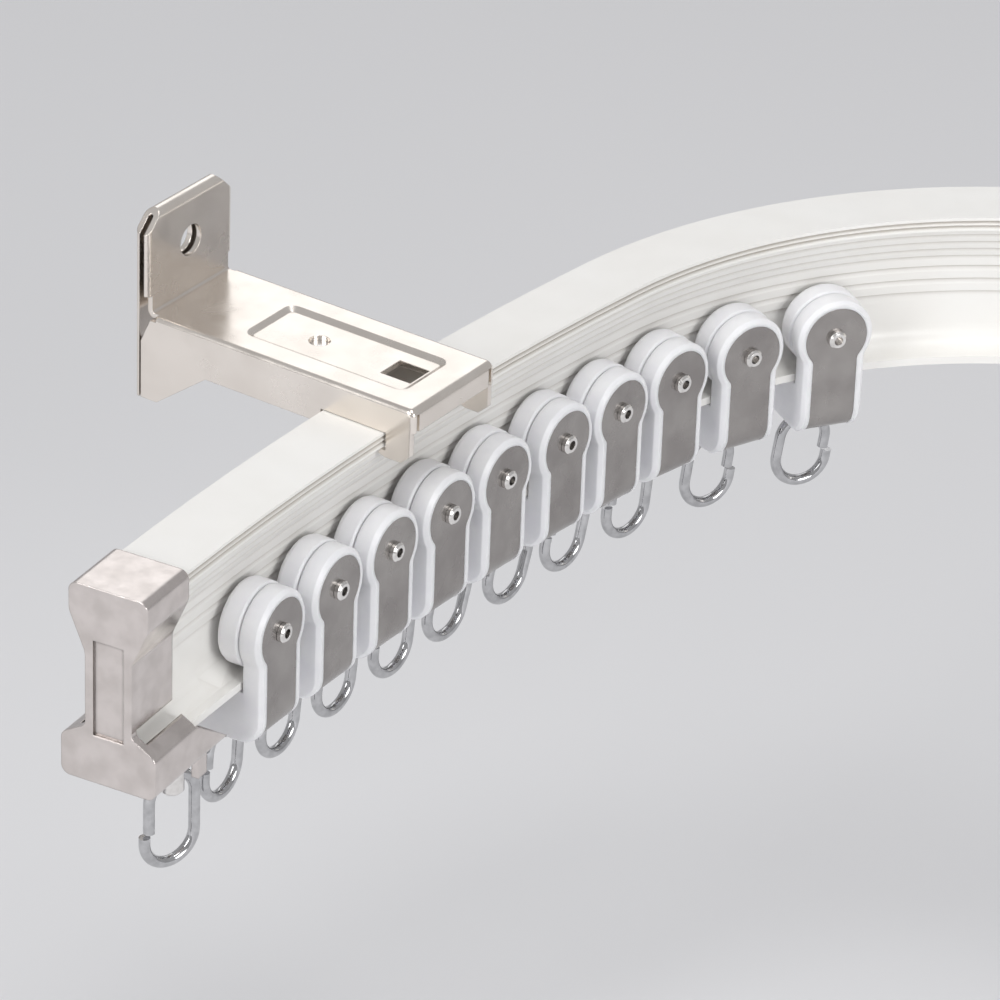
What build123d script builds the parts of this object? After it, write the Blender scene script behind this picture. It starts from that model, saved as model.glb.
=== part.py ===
from build123d import *
from math import cos, degrees, radians, sin, sqrt
import os

# A bendable I-section curtain track on a folded wall bracket, with roller carriers and end caps.
# Frame: X away from the wall, Y along the wall, Z up, in millimetres.
# The origin is the centre of the two wall screw holes, on the bracket's back face.

# Rail path, seen from above
wall_to_rail = 42.0
near_bend_r = 570.0
near_bend_crown_y = -10.65
near_run = 62.8
far_run = 64.8
corner_bend_r = 89.0
corner_exit_heading = 90.0
tail_run = 22.0

# Rail section
rail_top_z = -5.6
rail_h = 26.4
top_flange_w = 11.4
lip_h = 2.4
lip_groove = 0.38
lip_undercut = 0.9
taper_foot_w = 4.8
taper_foot_drop = 9.0
ribbed_web_w = 3.1
ribbed_web_drop = 16.5
web_w = 2.8
rib_depth = 0.4
rib_share = 0.55
taper_ribs = 4
web_ribs = 3
bottom_flange_w = 13.2
bottom_flange_t = 1.3
bottom_fillet_r = 3.6

# Wall bracket
sheet = 0.9
bracket_w = 21.2
fold_gap = 0.9
plate_top_z = 16.6
plate_bottom_z = -15.1
plate_chamfer = 3.4
screw_spacing = 17.0
wall_screw_hole_d = 5.2
arm_top_z = -0.3
arm_end_x = 53.2
flange_edge_z = -7.9
gusset_foot = 4.3
gusset_end_x = 13.8
front_drop = 3.9
front_corner_gap = 0.7
edge_r = 0.85
flange_clear = 0.3
rail_seat = 0.1
notch_clear = 0.4
claw_hook = 0.5
claw_tip_drop = 1.3
claw_end_z = -9.7
panel_l = 30.5
panel_w = 12.4
panel_x = 32.8
panel_depth = 0.6
panel_slope = 60.0
panel_corner_r = 1.8
window_x = 43.9
window_l = 5.6
window_w = 5.1
clamp_hole_x = 27.7
clamp_thread_d = 3.4
clamp_collar_d = 5.0
clamp_collar_h = 1.2
relief_w = 1.0
relief_l = 1.4
relief_top_z = 2.6
relief_drop = 4.0

# Rail clamp under the arm
jaw_t = 1.0
jaw_w = 11.0
jaw_reach = 0.75
jaw_heel_x = 20.5
jaw_clear = 0.3
jaw_slot_clear = 0.2
jaw_travel = 2.2
clamp_screw_clear = 0.05
clamp_screw_end = 1.4
clamp_head_d = 6.0
clamp_head_h = 1.4
clamp_drive_w = 0.9

# Carriers along the rail
first_station = 29.8
head_d = 13.2
carrier_gaps = [2.3, 1.55, 1.65, 1.4, 2.3, 1.0, 1.9, 3.7, 4.7]
cheek_inner = 7.05
cheek_t = 3.35
leg_w = 10.8
neck_r = 2.0
base_gap = 0.4
base_t = 9.0
saddle_corner_r = 4.6
saddle_rim = 0.6

# Keyhole strap let into the saddle
strap_t = 0.7
strap_head_d = 10.8
strap_leg_w = 7.8
strap_neck_r = 1.6
strap_recess = 0.1
strap_clear = 0.05
eye_t = 1.0
eye_d = 4.2
eye_drop = 1.4

# Hollow rivets and wheels
rivet_d = 2.2
rivet_lip_d = 3.1
rivet_proud = 0.9
rivet_bore_d = 1.5
rivet_bore_depth = 2.2
rivet_foot_d = 4.0
rivet_foot_t = 0.5
rivet_seat = 0.05
axle_clear = 0.06
hole_clear = 0.05
wheel_r = 6.8
wheel_inner = 2.9
wheel_side_gap = 0.3
wheel_clear = 0.6
wheel_edge = 0.9
wheel_outer_edge = 0.35

# Hook rings
wire_d = 1.8
ring_w = 10.0
ring_h = 14.0
cap_ring_h = 17.0
hook_outset = 0.8
hook_gap = 0.5
hook_height = 6.6
ring_clear = 0.15
first_turned_ring = 9
ring_leans = [4, 8, 7, 7, 18, 18, 14, 6, 8, 8]

# End caps
cap_front_t = 1.5
cap_depth = 11.3
cap_tongue = 20.7
cap_top_t = 1.0
cap_h = 33.0
cap_top_w = 13.4
cap_web_w = 7.9
cap_bottom_w = 16.2
cap_lobe_drop = 4.8
cap_web_top_drop = 11.2
cap_web_foot_drop = 23.6
cap_shoulder_drop = 26.0
cap_floor_t = 1.2
cap_fit = 0.2
cap_end_gap = 0.1
cap_rail_seat_l = 6.0
cap_corner_r = 1.5
cap_lobe_r = 3.0
cap_web_r = 3.6
cap_shoulder_r = 1.6
cap_panel_w = 5.2
cap_panel_h = 16.0
cap_panel_drop = 16.9
cap_panel_depth = 0.4
cap_lug_x = 3.7
cap_lug_t = 1.2
cap_lug_l = 2.4
cap_lug_h = 7.0

# Swivel eyelet under each cap
eyelet_station = 17.8
eyelet_d = 3.8
eyelet_drop = 10.3
eyelet_hole_drop = 7.2
eyelet_pin_d = 2.4
eyelet_head_d = 4.8
eyelet_head_t = 0.8
eyelet_gap = 0.1
near_eyelet_turn = 24.0

# Derived sizes
cheek_outer = cheek_inner + cheek_t
saddle_drop = rail_h + base_gap + base_t
shelf_drop = rail_h - bottom_flange_t
axle_drop = shelf_drop - wheel_clear - wheel_r
wheel_outer = cheek_inner - wheel_side_gap
strap_face = cheek_outer - strap_recess
eye_z = -saddle_drop - eye_drop
wire_r = wire_d / 2
ring_r = (ring_w - wire_d) / 2
plate_t = 2 * sheet + fold_gap
arm_under_z = arm_top_z - sheet
panel_under_z = arm_under_z - panel_depth
collar_end_z = panel_under_z - clamp_collar_h
hole_z = screw_spacing / 2
lip_under_z = rail_top_z - lip_h
cap_floor_z = cap_top_t - cap_h

os.makedirs("parts", exist_ok=True)


def save(solid, name):
    """Label a finished piece and write it out."""
    solid.label = name
    export_step(solid, f"parts/{name}.step")


# Rail path
far_sweep = degrees(far_run / near_bend_r)
near_centre = Vector(wall_to_rail + near_bend_r, near_bend_crown_y, rail_top_z)
corner_inward = Vector(cos(radians(far_sweep)), -sin(radians(far_sweep)), 0)
corner_centre = near_centre - corner_inward * (near_bend_r - corner_bend_r)
corner_run = radians(corner_exit_heading - far_sweep) * corner_bend_r
corner_end = near_run + far_run + corner_run
rail_run = corner_end + tail_run


def heading_at(distance):
    """Turn away from +Y toward +X, in degrees, at a distance from the rail's near end."""
    along = distance - near_run
    if along < far_run:
        return degrees(along / near_bend_r)
    return min(corner_exit_heading, far_sweep + degrees((along - far_run) / corner_bend_r))


def rail_plane(distance):
    """Level plane on the rail's top: X to the inside of the bends, Y along the rail."""
    turn = radians(heading_at(distance))
    inward = Vector(cos(turn), -sin(turn), 0)
    forward = Vector(sin(turn), cos(turn), 0)
    if distance < near_run + far_run:
        point = near_centre - inward * near_bend_r
    else:
        point = corner_centre - inward * corner_bend_r + forward * max(0, distance - corner_end)
    return Plane(origin=point, x_dir=inward, z_dir=(0, 0, 1))


def rail_x(y):
    """Distance of the rail's middle from the wall, beside the bracket."""
    return near_centre.X - sqrt(near_bend_r**2 - (y - near_bend_crown_y) ** 2)


def ribbed(start, end, count):
    """Points of a saw-tooth flank between two points, its teeth cut toward the web."""
    points = []
    for tooth in range(count):
        for step, depth in ((0, 0), (rib_share, 0), (rib_share, rib_depth)):
            share = (tooth + step) / count
            x = start[0] + (end[0] - start[0]) * share
            y = start[1] + (end[1] - start[1]) * share
            points.append((x - depth, y))
    return points


def rail_outline():
    """Right half of the rail's section, from the top's middle down to the bottom's middle."""
    edge = top_flange_w / 2
    points = [(0, 0), (edge, 0)]
    for share in (0.36, 0.7):
        middle = -lip_h * share
        points += [(edge, middle + lip_groove), (edge - lip_groove, middle), (edge, middle - lip_groove)]
    points.append((edge, -lip_h))
    under = (edge - lip_undercut, -lip_h - 0.3)
    foot = (taper_foot_w / 2, -taper_foot_drop)
    web_foot = (ribbed_web_w / 2, -ribbed_web_drop)
    points += ribbed(under, foot, taper_ribs)
    points += ribbed(foot, web_foot, web_ribs)
    points += [(web_w / 2, -ribbed_web_drop - 0.6), (web_w / 2, -shelf_drop)]
    points += [(bottom_flange_w / 2, -shelf_drop), (bottom_flange_w / 2, -rail_h), (0, -rail_h)]
    return points


def corners(sketch, half_width, height):
    """Corners of a sketch at plus and minus one half width, at one height of its own plane."""
    found = []
    for vertex in sketch.vertices():
        if abs(abs(vertex.X) - half_width) < 1e-3 and abs(vertex.Y - height) < 1e-3:
            found.append(vertex)
    return found


# Rail: two tangent bends and a straight tail, from one section
with BuildSketch(Plane.XZ) as rail_section:
    with BuildLine():
        Polyline(*rail_outline(), close=True)
    make_face()
    mirror(about=Plane.YZ)
    fillet(corners(rail_section, web_w / 2, -shelf_drop), bottom_fillet_r)

with BuildPart() as rail:
    near_section = rail_plane(0).location * rail_section.sketch
    near_axis = Axis(near_centre, (0, 0, -1))
    revolve(near_section, axis=near_axis, revolution_arc=far_sweep - heading_at(0))
    corner_section = rail_plane(near_run + far_run).location * rail_section.sketch
    corner_axis = Axis(corner_centre, (0, 0, -1))
    revolve(corner_section, axis=corner_axis, revolution_arc=corner_exit_heading - far_sweep)
    tail_section = rail.faces().filter_by(Axis.X).sort_by(Axis.X)[-1]
    extrude(tail_section, amount=tail_run)
save(rail.part, "rail")


def keyhole(plane, grow):
    """The strap's round head and leg on a plane beside the saddle, grown by a clearance."""
    head_r = strap_head_d / 2 + grow
    half_leg = strap_leg_w / 2 + grow
    with BuildSketch(plane) as shape:
        with Locations((0, -axle_drop)):
            Circle(head_r)
            Rectangle(2 * half_leg, saddle_drop - saddle_corner_r - axle_drop, align=(Align.CENTER, Align.MAX))
        fillet(corners(shape, half_leg, -axle_drop - sqrt(head_r**2 - half_leg**2)), strap_neck_r)
    return shape.sketch


def saddle_outline(inset):
    """The saddle seen along the rail, below the axle, let in by an inset."""
    with BuildSketch(Plane.XZ) as outline:
        with Locations((0, -axle_drop)):
            half_w = cheek_outer - inset
            Rectangle(2 * half_w, saddle_drop - axle_drop - inset, align=(Align.CENTER, Align.MAX))
        fillet(corners(outline, half_w, inset - saddle_drop), saddle_corner_r - inset)
    return outline.sketch


# Saddle: one nylon piece with two cheeks, a thick base and a channel for the strap
channel_inset = strap_recess + strap_t + strap_clear
with BuildPart() as saddle:
    with BuildSketch(Plane.YZ) as cheek:
        with Locations((0, -axle_drop)):
            Circle(head_d / 2)
            Rectangle(leg_w, saddle_drop - axle_drop, align=(Align.CENTER, Align.MAX))
        neck_drop = axle_drop + sqrt((head_d / 2) ** 2 - (leg_w / 2) ** 2)
        fillet(corners(cheek, leg_w / 2, -neck_drop), neck_r)
    extrude(amount=cheek_outer, both=True)
    with BuildSketch(Plane.XZ):
        Rectangle(2 * cheek_inner, rail_h + base_gap, align=(Align.CENTER, Align.MAX))
    extrude(amount=head_d, both=True, mode=Mode.SUBTRACT)
    fillet(saddle.edges().filter_by(Axis.Y).group_by(Axis.Z)[0], saddle_corner_r)
    outer_faces = saddle.faces().filter_by(Axis.X).group_by(Axis.X)
    chamfer((outer_faces[0] + outer_faces[-1]).edges().filter_by(Axis.Y, reverse=True), saddle_rim)
    extrude(
        saddle_outline(-1) - saddle_outline(channel_inset),
        amount=strap_leg_w / 2 + strap_clear,
        both=True,
        mode=Mode.SUBTRACT,
    )
    for side in (1, -1):
        recess = keyhole(Plane.YZ.offset(side * (cheek_outer - channel_inset)), strap_clear)
        extrude(recess, amount=side * 2 * channel_inset, mode=Mode.SUBTRACT)
    with BuildSketch(Plane.YZ):
        with Locations((0, -axle_drop)):
            Circle(rivet_d / 2 + hole_clear)
    extrude(amount=cheek_outer, both=True, mode=Mode.SUBTRACT)

# Strap: a steel keyhole strip wrapped under the saddle, with the ring's eye below
with BuildPart() as strap:
    band = saddle_outline(strap_recess) - saddle_outline(strap_recess + strap_t)
    extrude(band, amount=strap_leg_w / 2, both=True)
    for side in (1, -1):
        head = keyhole(Plane.YZ.offset(side * (strap_face - strap_t)), 0)
        extrude(head, amount=side * strap_t)
    with BuildSketch(Plane.XZ):
        with Locations((0, eye_z)):
            Circle(eye_d / 2)
            Rectangle(eye_d, strap_recess - saddle_drop - eye_z, align=(Align.CENTER, Align.MIN))
            Circle(wire_r + ring_clear, mode=Mode.SUBTRACT)
    extrude(amount=eye_t / 2, both=True)
    with BuildSketch(Plane.YZ):
        with Locations((0, -axle_drop)):
            Circle(rivet_d / 2 + hole_clear)
    extrude(amount=cheek_outer, both=True, mode=Mode.SUBTRACT)


def turned_pair(profile):
    """Revolve (along, radius) points about the carrier's axle, once on each side of the web."""
    axle = Axis((0, 0, -axle_drop), (1, 0, 0))
    with BuildPart() as pair:
        with BuildSketch(Plane.XZ):
            with BuildLine():
                Polyline(*[(along, radius - axle_drop) for along, radius in profile], close=True)
            make_face()
        revolve(axis=axle)
        mirror(about=Plane.YZ)
    return pair.part


# Rivets: each holds a wheel by its foot, with its hollow end rolled over the strap
foot_x = wheel_inner - wheel_side_gap
lip_x = strap_face + rivet_seat
end_x = cheek_outer + rivet_proud
rivets = turned_pair(
    [
        (foot_x - rivet_foot_t, 0),
        (foot_x - rivet_foot_t, rivet_foot_d / 2),
        (foot_x, rivet_foot_d / 2),
        (foot_x, rivet_d / 2),
        (lip_x, rivet_d / 2),
        (lip_x, rivet_lip_d / 2),
        (end_x - 0.3, rivet_lip_d / 2),
        (end_x, rivet_lip_d / 2 - 0.3),
        (end_x, rivet_bore_d / 2),
        (end_x - rivet_bore_depth, rivet_bore_d / 2),
        (end_x - rivet_bore_depth, 0),
    ]
)

# Wheels: one on each side of the web, rounded where they run beside its foot
wheels = turned_pair(
    [
        (wheel_inner, rivet_d / 2 + axle_clear),
        (wheel_inner, wheel_r - wheel_edge),
        (wheel_inner + wheel_edge / 3, wheel_r - wheel_edge / 3),
        (wheel_inner + wheel_edge, wheel_r),
        (wheel_outer - wheel_outer_edge, wheel_r),
        (wheel_outer, wheel_r - wheel_outer_edge),
        (wheel_outer, rivet_d / 2 + axle_clear),
    ]
)


def hook_ring(height):
    """Open wire ring along the rail, hung by its top from the origin, its hook end set out."""
    foot_r = ring_r + hook_outset / 2
    foot_z = foot_r + wire_d - height
    hook_z = hook_height - height + wire_r
    with BuildPart() as ring:
        with BuildLine(Plane.YZ) as wire:
            Line((-ring_r, hook_z + hook_gap), (-ring_r, -ring_r))
            CenterArc((0, -ring_r), ring_r, 180, -180)
            Line((ring_r, -ring_r), (ring_r, foot_z))
            CenterArc((ring_r - foot_r, foot_z), foot_r, 0, -180)
            Line((ring_r - 2 * foot_r, foot_z), (ring_r - 2 * foot_r, hook_z))
        with BuildSketch(Plane(origin=wire.wire() @ 0, z_dir=wire.wire() % 0)):
            Circle(wire_r)
        sweep(path=wire.wire())
    return ring.part


# Carriers along the rail
carrier_ring = hook_ring(ring_h)
station = first_station
for number in range(1, len(carrier_gaps) + 2):
    place = rail_plane(station).location
    save(place * saddle.part, f"saddle_{number:02d}")
    save(place * strap.part, f"strap_{number:02d}")
    save(place * rivets, f"rivets_{number:02d}")
    save(place * wheels, f"wheels_{number:02d}")
    turn = 180 if number >= first_turned_ring else 0
    lean = Pos(0, 0, eye_z - ring_r) * Rot(-ring_leans[number - 1], 0, turn) * Pos(0, 0, ring_r)
    save(place * lean * carrier_ring, f"ring_{number:02d}")
    if number <= len(carrier_gaps):
        station += head_d + carrier_gaps[number - 1]


# End cap: a moulded shell of the rail's shape, with a tongue below for the eyelet
cap_side = [
    (cap_top_w / 2, cap_top_t),
    (cap_top_w / 2, cap_top_t - cap_lobe_drop),
    (cap_web_w / 2, cap_top_t - cap_web_top_drop),
    (cap_web_w / 2, cap_top_t - cap_web_foot_drop),
    (cap_bottom_w / 2, cap_top_t - cap_shoulder_drop),
    (cap_bottom_w / 2, cap_floor_z),
]
cap_radii = [cap_corner_r, cap_lobe_r, cap_web_r, cap_lobe_r / 2, cap_shoulder_r, cap_corner_r]
rail_space = [
    (0, cap_fit),
    (top_flange_w / 2 + cap_fit, cap_fit),
    (top_flange_w / 2 + cap_fit, -lip_h),
    (taper_foot_w / 2 + 2 * cap_fit, -taper_foot_drop),
    (taper_foot_w / 2 + 2 * cap_fit, -shelf_drop + bottom_fillet_r + 1.2),
    (bottom_flange_w / 2 + cap_fit, -shelf_drop + cap_fit / 2),
    (bottom_flange_w / 2 + cap_fit, -rail_h - cap_fit),
    (0, -rail_h - cap_fit),
]
with BuildPart() as cap:
    with BuildSketch(Plane.XZ.offset(cap_front_t)) as cap_outline:
        with BuildLine():
            Polyline((0, cap_top_t), *cap_side, (0, cap_floor_z), close=True)
        make_face()
        mirror(about=Plane.YZ)
        for (half_w, height), radius in zip(cap_side, cap_radii):
            fillet(corners(cap_outline, half_w, height), radius)
    extrude(amount=-cap_tongue)
    with BuildSketch(Plane.YZ) as above_tongue:
        shell_y = cap_depth - cap_front_t
        tongue_y = cap_tongue - cap_front_t
        with BuildLine():
            Polyline(
                (shell_y, cap_top_t + 1),
                (shell_y, cap_top_t - cap_shoulder_drop),
                (tongue_y, cap_floor_z + cap_floor_t / 2),
                (tongue_y + 1, cap_floor_z + cap_floor_t / 2),
                (tongue_y + 1, cap_top_t + 1),
                close=True,
            )
        make_face()
    extrude(amount=cap_bottom_w, both=True, mode=Mode.SUBTRACT)
    with BuildSketch(Plane.XZ.offset(cap_end_gap)):
        with BuildLine():
            Polyline(*rail_space, close=True)
        make_face()
        mirror(about=Plane.YZ)
    extrude(amount=-cap_tongue, mode=Mode.SUBTRACT)
    with BuildSketch(Plane.XZ.offset(-cap_rail_seat_l)):
        with Locations((0, -shelf_drop)):
            space_h = -shelf_drop - cap_floor_z - cap_floor_t
            Rectangle(bottom_flange_w + 2 * cap_fit, space_h, align=(Align.CENTER, Align.MAX))
    extrude(amount=-cap_tongue, mode=Mode.SUBTRACT)
    with BuildSketch(Plane.XZ.offset(cap_front_t)):
        with Locations((0, cap_top_t - cap_panel_drop)):
            Rectangle(cap_panel_w, cap_panel_h)
    extrude(amount=-cap_panel_depth, mode=Mode.SUBTRACT)
    with BuildSketch(Plane.XY.offset(cap_floor_z)):
        with Locations((0, eyelet_station - cap_front_t)):
            Circle(eyelet_pin_d / 2 + axle_clear)
    extrude(amount=cap_floor_t, mode=Mode.SUBTRACT)
    with BuildSketch(Plane.XY.offset(cap_floor_z - cap_lug_h)):
        with Locations((cap_lug_x, tongue_y)):
            Rectangle(cap_lug_t, cap_lug_l, align=(Align.CENTER, Align.MAX))
    extrude(amount=cap_lug_h + cap_floor_t / 2)

# Eyelet: a riveted stud that swivels in the cap's floor, cross-drilled for its ring
with BuildPart() as eyelet:
    barrel_top = cap_floor_z - eyelet_gap
    barrel_end = cap_floor_z - eyelet_drop
    head_z = cap_floor_z + cap_floor_t + eyelet_gap
    with BuildSketch(Plane.XZ):
        with BuildLine():
            Polyline(
                (0, barrel_end),
                (eyelet_d / 2 - 0.5, barrel_end),
                (eyelet_d / 2, barrel_end + 0.5),
                (eyelet_d / 2, barrel_top),
                (eyelet_pin_d / 2, barrel_top),
                (eyelet_pin_d / 2, head_z),
                (eyelet_head_d / 2, head_z),
                (eyelet_head_d / 2, head_z + eyelet_head_t),
                (0, head_z + eyelet_head_t),
                close=True,
            )
        make_face()
    revolve(axis=Axis.Z)
    with BuildSketch(Plane.XZ):
        with Locations((0, cap_floor_z - eyelet_hole_drop)):
            Circle(wire_r + ring_clear + eyelet_d**2 / 8 / ring_r)
    extrude(amount=eyelet_d, both=True, mode=Mode.SUBTRACT)

cap_ring = hook_ring(cap_ring_h)
near_end = rail_plane(0).location
far_end = rail_plane(rail_run).location * Rot(0, 0, 180)
for place, end_name, turn in ((near_end, "near", -near_eyelet_turn), (far_end, "far", 0)):
    stud = place * Pos(0, eyelet_station - cap_front_t, 0) * Rot(0, 0, turn)
    save(place * cap.part, f"end_cap_{end_name}")
    save(stud * eyelet.part, f"cap_eyelet_{end_name}")
    save(stud * Pos(0, 0, cap_floor_z - eyelet_hole_drop) * cap_ring, f"cap_ring_{end_name}")


# Bracket: one folded strip, with side flanges, a pressed panel and two claws
strip_r = (fold_gap + sheet) / 2 - 0.01
side_y = bracket_w / 2
with BuildPart() as bracket:
    with BuildSketch(Plane.XZ):
        with BuildLine():
            FilletPolyline(
                (sheet / 2, plate_bottom_z),
                (sheet / 2, plate_top_z - sheet / 2),
                (plate_t - sheet / 2, plate_top_z - sheet / 2),
                (plate_t - sheet / 2, arm_top_z - sheet / 2),
                (arm_end_x - sheet / 2, arm_top_z - sheet / 2),
                (arm_end_x - sheet / 2, arm_top_z - front_drop),
                radius=strip_r,
            )
        trace(line_width=sheet)
    extrude(amount=side_y, both=True)
    for side in (1, -1):
        rail_near = rail_x(side * side_y) - top_flange_w / 2 - notch_clear
        rail_far = rail_x(side * side_y) + top_flange_w / 2 + notch_clear
        with BuildSketch(Plane.XZ.offset(-side * side_y)):
            with BuildLine():
                Polyline(
                    (plate_t + flange_clear, arm_under_z),
                    (sheet + flange_clear, arm_under_z - relief_drop),
                    (sheet + flange_clear, plate_bottom_z),
                    (gusset_foot, plate_bottom_z),
                    (gusset_end_x, flange_edge_z),
                    (rail_near, flange_edge_z),
                    (rail_near, rail_top_z + rail_seat),
                    (rail_far, rail_top_z + rail_seat),
                    (rail_far, lip_under_z - claw_hook),
                    (rail_far - notch_clear - claw_hook, lip_under_z - claw_hook),
                    (rail_far - notch_clear - 2 * claw_hook, lip_under_z - claw_tip_drop),
                    (rail_far, claw_end_z),
                    (arm_end_x - 2.2, claw_end_z),
                    (arm_end_x - sheet / 2, claw_end_z + 1.6),
                    (arm_end_x - sheet / 2, arm_under_z),
                    close=True,
                )
            make_face()
        extrude(amount=side * sheet)
    rounded = []
    for edge in bracket.edges().filter_by(Axis.X):
        if abs(edge.center().Z - arm_top_z) < 0.01:
            rounded.append(edge)
    fillet(rounded, edge_r)
    for side in (1, -1):
        with BuildSketch(Plane.YZ):
            with BuildLine():
                Polyline(
                    (side * (side_y + 1), plate_top_z + 1),
                    (side * (side_y - plate_chamfer - 1), plate_top_z + 1),
                    (side * (side_y + 1), plate_top_z - plate_chamfer - 1),
                    close=True,
                )
            make_face()
        extrude(amount=plate_t, mode=Mode.SUBTRACT)
        with Locations((sheet + flange_clear, side * (side_y - relief_w), relief_top_z)):
            Box(
                plate_t - sheet - flange_clear + relief_l,
                2 * relief_w,
                relief_top_z - arm_under_z,
                align=(Align.MIN, Align.MIN if side > 0 else Align.MAX, Align.MAX),
                mode=Mode.SUBTRACT,
            )
        with Locations((arm_end_x + 1, side * (side_y - sheet), arm_under_z)):
            Box(
                sheet + 1,
                front_corner_gap,
                front_drop + 1,
                align=(Align.MAX, Align.MAX if side > 0 else Align.MIN, Align.MAX),
                mode=Mode.SUBTRACT,
            )
    for z, depth in ((hole_z, plate_t), (-hole_z, sheet)):
        with BuildSketch(Plane.YZ):
            with Locations((0, z)):
                Circle(wall_screw_hole_d / 2)
        extrude(amount=depth, mode=Mode.SUBTRACT)
    with BuildSketch(Plane.XY.offset(arm_under_z)):
        with Locations((panel_x, 0)):
            RectangleRounded(panel_l - sheet, panel_w - sheet, panel_corner_r)
    extrude(amount=-panel_depth)
    with BuildSketch(Plane.XY.offset(arm_top_z)):
        with Locations((panel_x, 0)):
            RectangleRounded(panel_l, panel_w, panel_corner_r)
    extrude(amount=-panel_depth, taper=panel_slope, mode=Mode.SUBTRACT)
    with BuildSketch(Plane.XY.offset(panel_under_z)):
        with Locations((clamp_hole_x, 0)):
            Circle(clamp_collar_d / 2)
    extrude(amount=-clamp_collar_h)
    with BuildSketch(Plane.XY.offset(arm_top_z)):
        with Locations((clamp_hole_x, 0)):
            Circle(clamp_thread_d / 2)
        with Locations((window_x, 0)):
            Rectangle(window_l, window_w)
    extrude(amount=-(arm_top_z - collar_end_z), mode=Mode.SUBTRACT)
save(bracket.part, "bracket")

# Clamp: a stepped jaw that hooks under the rail's wall side, with a slot for its screw
jaw_top_z = collar_end_z - rail_seat
jaw_x = rail_x(0) - top_flange_w / 2 - jaw_clear - jaw_t / 2
with BuildPart() as clamp:
    with BuildSketch(Plane.XZ):
        with BuildLine():
            FilletPolyline(
                (jaw_heel_x, panel_under_z - rail_seat),
                (jaw_heel_x, jaw_top_z - jaw_t / 2),
                (jaw_x, jaw_top_z - jaw_t / 2),
                (jaw_x, lip_under_z - jaw_clear - jaw_t / 2),
                (jaw_x + jaw_t / 2 + jaw_clear + jaw_reach, lip_under_z - jaw_clear - jaw_t / 2),
                radius=0.6,
            )
        trace(line_width=jaw_t)
    extrude(amount=jaw_w / 2, both=True)
    with BuildSketch(Plane.XY.offset(jaw_top_z)):
        with Locations((clamp_hole_x + jaw_travel / 2, 0)):
            SlotCenterToCenter(jaw_travel, clamp_thread_d + 2 * jaw_slot_clear)
    extrude(amount=-jaw_t, mode=Mode.SUBTRACT)
save(clamp.part, "bracket_clamp")

# Clamp screw: up through the jaw's slot into the arm's collar
head_top_z = jaw_top_z - jaw_t - rail_seat
with BuildPart() as clamp_screw:
    with BuildSketch(Plane.XY.offset(head_top_z)):
        with Locations((clamp_hole_x, 0)):
            Circle(clamp_head_d / 2)
    extrude(amount=-clamp_head_h)
    chamfer(clamp_screw.edges().group_by(Axis.Z)[0], clamp_head_h / 3)
    with BuildSketch(Plane.XY.offset(head_top_z)):
        with Locations((clamp_hole_x, 0)):
            Circle(clamp_thread_d / 2 - clamp_screw_clear)
    extrude(amount=arm_top_z - clamp_screw_end - head_top_z)
    with BuildSketch(Plane.XY.offset(head_top_z - clamp_head_h)):
        with Locations((clamp_hole_x, 0)):
            Rectangle(clamp_drive_w, clamp_head_d * 0.6)
            Rectangle(clamp_head_d * 0.6, clamp_drive_w)
    extrude(amount=clamp_head_h / 2, mode=Mode.SUBTRACT)
save(clamp_screw.part, "clamp_screw")
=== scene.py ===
from math import radians

import bpy
from mathutils import Matrix, Vector


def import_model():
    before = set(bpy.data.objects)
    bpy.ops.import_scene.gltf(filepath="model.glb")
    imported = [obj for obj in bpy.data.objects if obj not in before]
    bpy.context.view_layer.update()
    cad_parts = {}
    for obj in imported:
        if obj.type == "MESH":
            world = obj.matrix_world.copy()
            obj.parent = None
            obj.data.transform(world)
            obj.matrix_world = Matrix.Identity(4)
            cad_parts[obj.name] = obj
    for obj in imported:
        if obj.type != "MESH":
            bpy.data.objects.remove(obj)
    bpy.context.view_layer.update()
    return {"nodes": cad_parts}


MM = 0.001

# Camera, from the photograph's perspective: place in metres, turns in degrees
CAMERA_AT = (0.4972, -0.6442, 0.4229)
CAMERA_AZIMUTH = 34.03
CAMERA_ELEVATION = 29.50
CAMERA_ROLL = 2.11
CAMERA_LENS = 211.5
SENSOR = 36.0

# Surroundings
FLOOR_Z = -0.16
FLOOR_SIZE = 6.0
FLOOR_COLOUR = (0.78, 0.78, 0.79)
FLOOR_ROUGHNESS = 0.9
WORLD_TOP = (0.70, 0.70, 0.72)
WORLD_SIDE = (0.10, 0.10, 0.11)
WORLD_TOP_FROM = 0.9
WORLD_STRENGTH = 0.60
BACKDROP = (0.78, 0.78, 0.79)

# Lamps: place, width and height in metres, and power in watts
OBJECT_MIDDLE = (0.04, 0.0, -0.02)
LAMPS = {
    "overhead": ((0.40, -0.10, 1.25), 0.6, 0.6, 5.0),
    "window_left": ((-0.20, -1.25, 0.65), 0.7, 1.0, 10.5),
    "window_back": ((-0.60, 0.95, 0.68), 0.8, 0.6, 1.3),
    "fill_right": ((1.30, -0.30, 0.40), 0.6, 0.6, 7.0),
}

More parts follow.
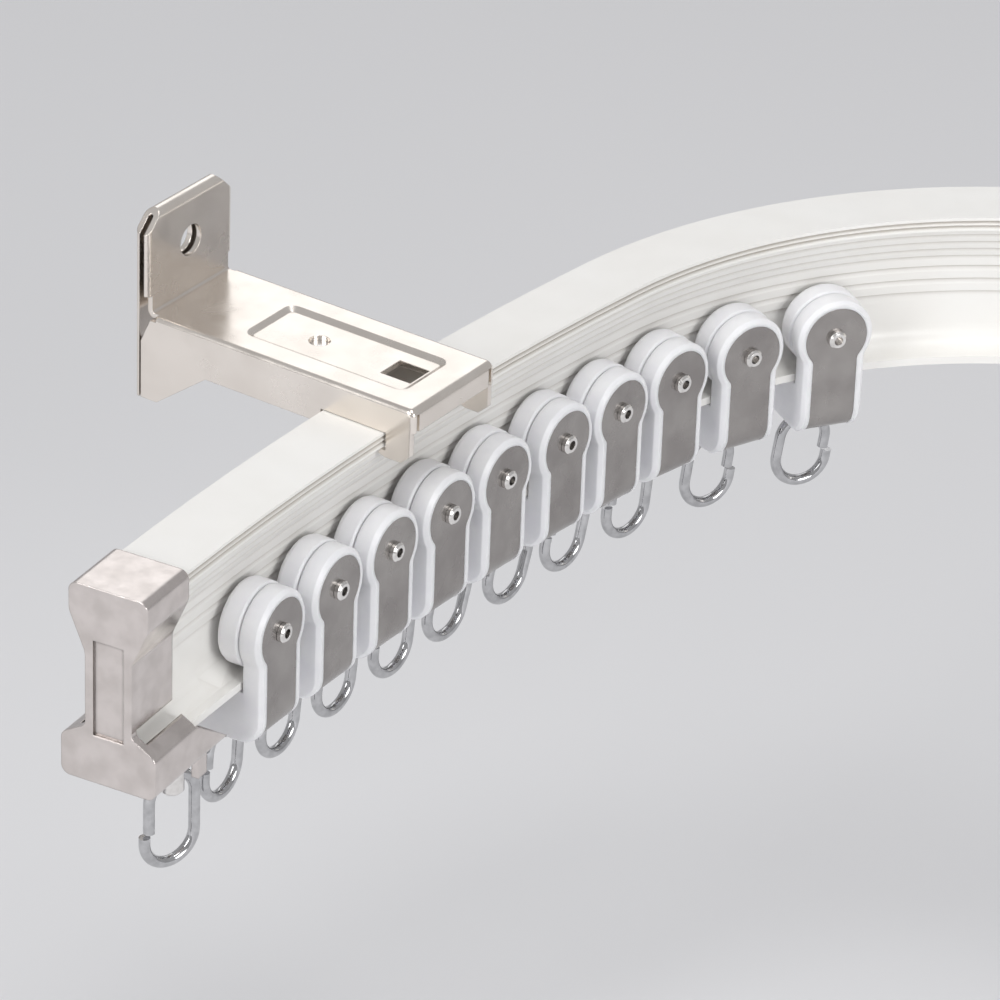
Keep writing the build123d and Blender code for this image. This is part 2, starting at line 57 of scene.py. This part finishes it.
# Surface colours
PAINT_WHITE = (0.88, 0.87, 0.84)
PAINT_SHADE = (0.86, 0.845, 0.81)
# Painted shade: the tone the paint takes in its grooves and corners
PAINT_GROOVE_SHADE = (0.46, 0.42, 0.37)
NYLON_WHITE = (0.89, 0.89, 0.91)
NYLON_SHADE = (0.85, 0.85, 0.88)
CAP_LIGHT = (0.74, 0.685, 0.66)
CAP_DARK = (0.63, 0.58, 0.555)
# Painted shade: the tone the cap takes in its grooves and recesses
CAP_GROOVE_SHADE = (0.15, 0.13, 0.12)
BRACKET_LIGHT = (0.90, 0.84, 0.78)
BRACKET_DARK = (0.83, 0.77, 0.71)
# Painted shade: the tone the bracket takes in its corners and creases
BRACKET_GROOVE_SHADE = (0.40, 0.35, 0.31)
STRAP_LIGHT = (0.40, 0.38, 0.365)
STRAP_DARK = (0.32, 0.30, 0.29)
BRIGHT_LIGHT = (0.86, 0.84, 0.82)
BRIGHT_DARK = (0.74, 0.72, 0.70)
CHROME_LIGHT = (0.58, 0.58, 0.59)
CHROME_DARK = (0.46, 0.46, 0.47)

# Noise keeps mostly between these two values, and they are spread over the range wanted.
NOISE_LEAST = 0.35
NOISE_MOST = 0.65

# How open a place is, for the painted shade in hollows: a groove takes the full shade tone below
# the first, an open face keeps its own colour above the second.
OPEN_LEAST = 0.45
OPEN_MOST = 0.95

# Samples that the softened edges and the grooves are looked up with
LOOKUPS = 4

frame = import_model()


class Surface:
    """A node material whose parts are added one after the other. Sizes are in metres."""

    def __init__(self, name, metallic):
        self.material = bpy.data.materials.new(name)
        self.material.use_nodes = True
        self.nodes = self.material.node_tree.nodes
        self.links = self.material.node_tree.links
        self.shader = self.nodes["Principled BSDF"]
        self.set("Metallic", metallic)
        self.place = self.nodes.new("ShaderNodeTexCoord").outputs["Object"]
        self.tone = None
        self.normal = None

    def set(self, socket, value):
        """Set a value that is the same all over the surface."""
        self.shader.inputs[socket].default_value = value

    def noise(self, size, detail):
        """Noise whose blotches are about as large as the size."""
        mapping = self.nodes.new("ShaderNodeMapping")
        mapping.inputs["Scale"].default_value = [1 / size] * 3
        texture = self.nodes.new("ShaderNodeTexNoise")
        texture.inputs["Scale"].default_value = 1.0
        texture.inputs["Detail"].default_value = detail
        self.links.new(self.place, mapping.inputs["Vector"])
        self.links.new(mapping.outputs["Vector"], texture.inputs["Vector"])
        return texture.outputs["Fac"]

    def spread(self, value, start, end, low, high):
        """A value between start and end, spread over the range from low to high."""
        spread = self.nodes.new("ShaderNodeMapRange")
        spread.inputs["From Min"].default_value = start
        spread.inputs["From Max"].default_value = end
        spread.inputs["To Min"].default_value = low
        spread.inputs["To Max"].default_value = high
        self.links.new(value, spread.inputs["Value"])
        return spread.outputs["Result"]

    def uneven(self, size, detail, low, high):
        """A value that wanders between low and high."""
        return self.spread(self.noise(size, detail), NOISE_LEAST, NOISE_MOST, low, high)

    def mix(self, factor):
        """A mix of two colours, which becomes the surface's colour."""
        mix = self.nodes.new("ShaderNodeMix")
        mix.data_type = "RGBA"
        self.links.new(factor, mix.inputs["Factor"])
        self.tone = mix.outputs["Result"]
        self.links.new(self.tone, self.shader.inputs["Base Color"])
        return mix

    def cloud(self, first, second, size, detail):
        """Colour that wanders between two tones."""
        mix = self.mix(self.uneven(size, detail, 0, 1))
        mix.inputs["A"].default_value = (*first, 1)
        mix.inputs["B"].default_value = (*second, 1)

    def shade_hollows(self, tone, reach):
        """Paint shade into grooves and corners as deep as the reach, taking the colour over to
        the given darker tone there.
        """
        # painted shade: the occlusion factor darkens the colour wherever a place is hemmed in
        shelter = self.nodes.new("ShaderNodeAmbientOcclusion")
        shelter.samples = LOOKUPS
        shelter.only_local = True
        shelter.inputs["Distance"].default_value = reach
        open_face = self.tone
        mix = self.mix(self.spread(shelter.outputs["AO"], OPEN_LEAST, OPEN_MOST, 0, 1))
        mix.inputs["A"].default_value = (*tone, 1)
        self.links.new(open_face, mix.inputs["B"])

    def gloss(self, least, most, size, detail):
        """Roughness that wanders between two values."""
        self.links.new(self.uneven(size, detail, least, most), self.shader.inputs["Roughness"])

    def edges(self, radius):
        """Soften the light on sharp edges."""
        bevel = self.nodes.new("ShaderNodeBevel")
        bevel.samples = LOOKUPS
        bevel.inputs["Radius"].default_value = radius
        self.normal = bevel.outputs["Normal"]
        self.links.new(self.normal, self.shader.inputs["Normal"])

    def bump(self, depth, strength, size, detail):
        """Make the surface uneven, depth metres at the most."""
        bump = self.nodes.new("ShaderNodeBump")
        bump.inputs["Distance"].default_value = depth
        bump.inputs["Strength"].default_value = strength
        self.links.new(self.noise(size, detail), bump.inputs["Height"])
        if self.normal:
            self.links.new(self.normal, bump.inputs["Normal"])
        self.normal = bump.outputs["Normal"]
        self.links.new(self.normal, self.shader.inputs["Normal"])


def white_paint():
    """Satin white paint on an extrusion, with slight orange peel and grooves greyed by painted
    shade.
    """
    paint = Surface("white_paint", metallic=0.0)
    paint.edges(radius=0.04 * MM)
    paint.cloud(PAINT_WHITE, PAINT_SHADE, size=14 * MM, detail=5)
    # painted shade greys the rail's grooves and ribs
    paint.shade_hollows(PAINT_GROOVE_SHADE, reach=0.9 * MM)
    paint.gloss(0.30, 0.44, size=5 * MM, detail=4)
    paint.bump(depth=0.012 * MM, strength=0.5, size=0.9 * MM, detail=2)
    paint.set("Coat Weight", 0.25)
    paint.set("Coat Roughness", 0.2)
    return paint.material


def nylon():
    """Milky moulded nylon: light goes a little way in, and the skin is slightly uneven."""
    body = Surface("nylon", metallic=0.0)
    body.edges(radius=0.3 * MM)
    body.cloud(NYLON_WHITE, NYLON_SHADE, size=4 * MM, detail=3)
    body.gloss(0.28, 0.40, size=1.6 * MM, detail=4)
    body.bump(depth=0.02 * MM, strength=0.5, size=1.2 * MM, detail=3)
    body.set("Subsurface Weight", 0.55)
    body.set("Subsurface Radius", (1.0, 0.95, 1.0))
    body.set("Subsurface Scale", 2.0 * MM)
    return body.material


def cap_metal():
    """Die-cast metal with a satin plated skin, gentle dents, a fine grain and painted shade in
    its grooves and recesses.
    """
    skin = Surface("cap_metal", metallic=1.0)
    skin.edges(radius=0.3 * MM)
    skin.cloud(CAP_LIGHT, CAP_DARK, size=3.5 * MM, detail=5)
    # painted shade darkens the cap's grooves and recesses
    skin.shade_hollows(CAP_GROOVE_SHADE, reach=0.7 * MM)
    skin.gloss(0.16, 0.26, size=2.2 * MM, detail=5)
    skin.bump(depth=0.12 * MM, strength=0.5, size=7.0 * MM, detail=2)
    skin.bump(depth=0.003 * MM, strength=0.4, size=0.35 * MM, detail=2)
    return skin.material


def bracket_steel():
    """Bright plated sheet, a little wavy, with a cloudy tone and painted shade darkening its
    corners.
    """
    sheet = Surface("bracket_steel", metallic=1.0)
    sheet.edges(radius=0.2 * MM)
    sheet.cloud(BRACKET_LIGHT, BRACKET_DARK, size=9 * MM, detail=3)
    # painted shade darkens the bracket's corners and creases
    sheet.shade_hollows(BRACKET_GROOVE_SHADE, reach=0.6 * MM)
    sheet.gloss(0.18, 0.28, size=7 * MM, detail=3)
    sheet.bump(depth=0.10 * MM, strength=0.4, size=13 * MM, detail=1)
    sheet.bump(depth=0.0015 * MM, strength=0.4, size=0.5 * MM, detail=2)
    return sheet.material


def strap_steel():
    """Smooth rolled strip, a little wavy, with a faint cloud."""
    steel = Surface("strap_steel", metallic=1.0)
    steel.edges(radius=0.12 * MM)
    steel.cloud(STRAP_LIGHT, STRAP_DARK, size=7 * MM, detail=3)
    steel.gloss(0.20, 0.30, size=5 * MM, detail=3)
    steel.bump(depth=0.12 * MM, strength=0.4, size=9 * MM, detail=2)
    return steel.material


def bright_steel():
    """Bright plated rivets, studs and screw."""
    steel = Surface("bright_steel", metallic=1.0)
    steel.edges(radius=0.1 * MM)
    steel.cloud(BRIGHT_LIGHT, BRIGHT_DARK, size=1.0 * MM, detail=5)
    steel.gloss(0.14, 0.26, size=0.5 * MM, detail=3)
    return steel.material


def ring_chrome():
    """Polished wire with a faintly uneven gloss."""
    wire = Surface("ring_chrome", metallic=1.0)
    wire.cloud(CHROME_LIGHT, CHROME_DARK, size=1.5 * MM, detail=4)
    wire.gloss(0.05, 0.12, size=0.7 * MM, detail=4)
    return wire.material


# Each material and the starts of the names of the pieces that wear it
MATERIALS = (
    (white_paint, ("rail",)),
    (cap_metal, ("end_cap",)),
    (bracket_steel, ("bracket",)),
    (nylon, ("saddle", "wheels")),
    (strap_steel, ("strap",)),
    (bright_steel, ("clamp_screw", "rivets", "cap_eyelet")),
    (ring_chrome, ("ring", "cap_ring")),
)


def dress():
    """Give every piece of the frame its material, by the start of its name."""
    for make, starts in MATERIALS:
        surface = make()
        for name, piece in frame["nodes"].items():
            if name.startswith(starts):
                for slot in piece.material_slots:
                    slot.material = surface


def camera():
    """The photograph's camera."""
    data = bpy.data.cameras.new("camera")
    data.lens = CAMERA_LENS
    data.sensor_width = SENSOR
    piece = bpy.data.objects.new("camera", data)
    around = Matrix.Rotation(radians(CAMERA_AZIMUTH), 4, "Z")
    down = Matrix.Rotation(radians(90 - CAMERA_ELEVATION), 4, "X")
    roll = Matrix.Rotation(radians(CAMERA_ROLL), 4, "Z")
    piece.matrix_world = Matrix.Translation(CAMERA_AT) @ around @ down @ roll
    bpy.context.scene.collection.objects.link(piece)
    bpy.context.scene.camera = piece


def floor():
    """Plain pale floor below the hanging rings."""
    half = FLOOR_SIZE / 2
    corners = [(-half, -half, 0), (half, -half, 0), (half, half, 0), (-half, half, 0)]
    mesh = bpy.data.meshes.new("floor")
    mesh.from_pydata(corners, [], [(0, 1, 2, 3)])
    piece = bpy.data.objects.new("floor", mesh)
    piece.location.z = FLOOR_Z
    bpy.context.scene.collection.objects.link(piece)
    matt = Surface("floor", metallic=0.0)
    matt.set("Roughness", FLOOR_ROUGHNESS)
    matt.set("Base Color", (*FLOOR_COLOUR, 1))
    mesh.materials.append(matt.material)


def lamps():
    """Large soft lamps, all turned to the object."""
    for name, (place, width, height, watts) in LAMPS.items():
        data = bpy.data.lights.new(name, "AREA")
        data.shape = "RECTANGLE"
        data.size = width
        data.size_y = height
        data.energy = watts
        lamp = bpy.data.objects.new(name, data)
        lamp.location = place
        toward = Vector(OBJECT_MIDDLE) - Vector(place)
        lamp.rotation_euler = toward.to_track_quat("-Z", "Y").to_euler()
        bpy.context.scene.collection.objects.link(lamp)


def world():
    """Soft light that is pale overhead and dark at the sides, before a plain pale backdrop."""
    studio = bpy.data.worlds.new("studio")
    studio.use_nodes = True
    bpy.context.scene.world = studio
    nodes = studio.node_tree.nodes
    links = studio.node_tree.links
    direction = nodes.new("ShaderNodeTexCoord").outputs["Generated"]
    split = nodes.new("ShaderNodeSeparateXYZ")
    height = nodes.new("ShaderNodeMapRange")
    height.inputs["From Min"].default_value = 0.0
    height.inputs["From Max"].default_value = WORLD_TOP_FROM
    light = nodes.new("ShaderNodeMix")
    light.data_type = "RGBA"
    light.inputs["A"].default_value = (*WORLD_SIDE, 1)
    light.inputs["B"].default_value = (*WORLD_TOP, 1)
    links.new(direction, split.inputs["Vector"])
    links.new(split.outputs["Z"], height.inputs["Value"])
    links.new(height.outputs["Result"], light.inputs["Factor"])

    # The camera, mirrors and glass see the backdrop instead of this light.
    path = nodes.new("ShaderNodeLightPath")
    seen = path.outputs["Is Camera Ray"]
    for ray in ("Is Glossy Ray", "Is Transmission Ray"):
        either = nodes.new("ShaderNodeMath")
        either.operation = "MAXIMUM"
        links.new(seen, either.inputs[0])
        links.new(path.outputs[ray], either.inputs[1])
        seen = either.outputs["Value"]
    backdrop = nodes.new("ShaderNodeMix")
    backdrop.data_type = "RGBA"
    backdrop.inputs["B"].default_value = (*BACKDROP, 1)
    links.new(seen, backdrop.inputs["Factor"])
    links.new(light.outputs["Result"], backdrop.inputs["A"])

    background = nodes["Background"]
    background.inputs["Strength"].default_value = WORLD_STRENGTH
    links.new(backdrop.outputs["Result"], background.inputs["Color"])


camera()
dress()
floor()
lamps()
world()
bpy.context.scene.view_settings.view_transform = "Standard"
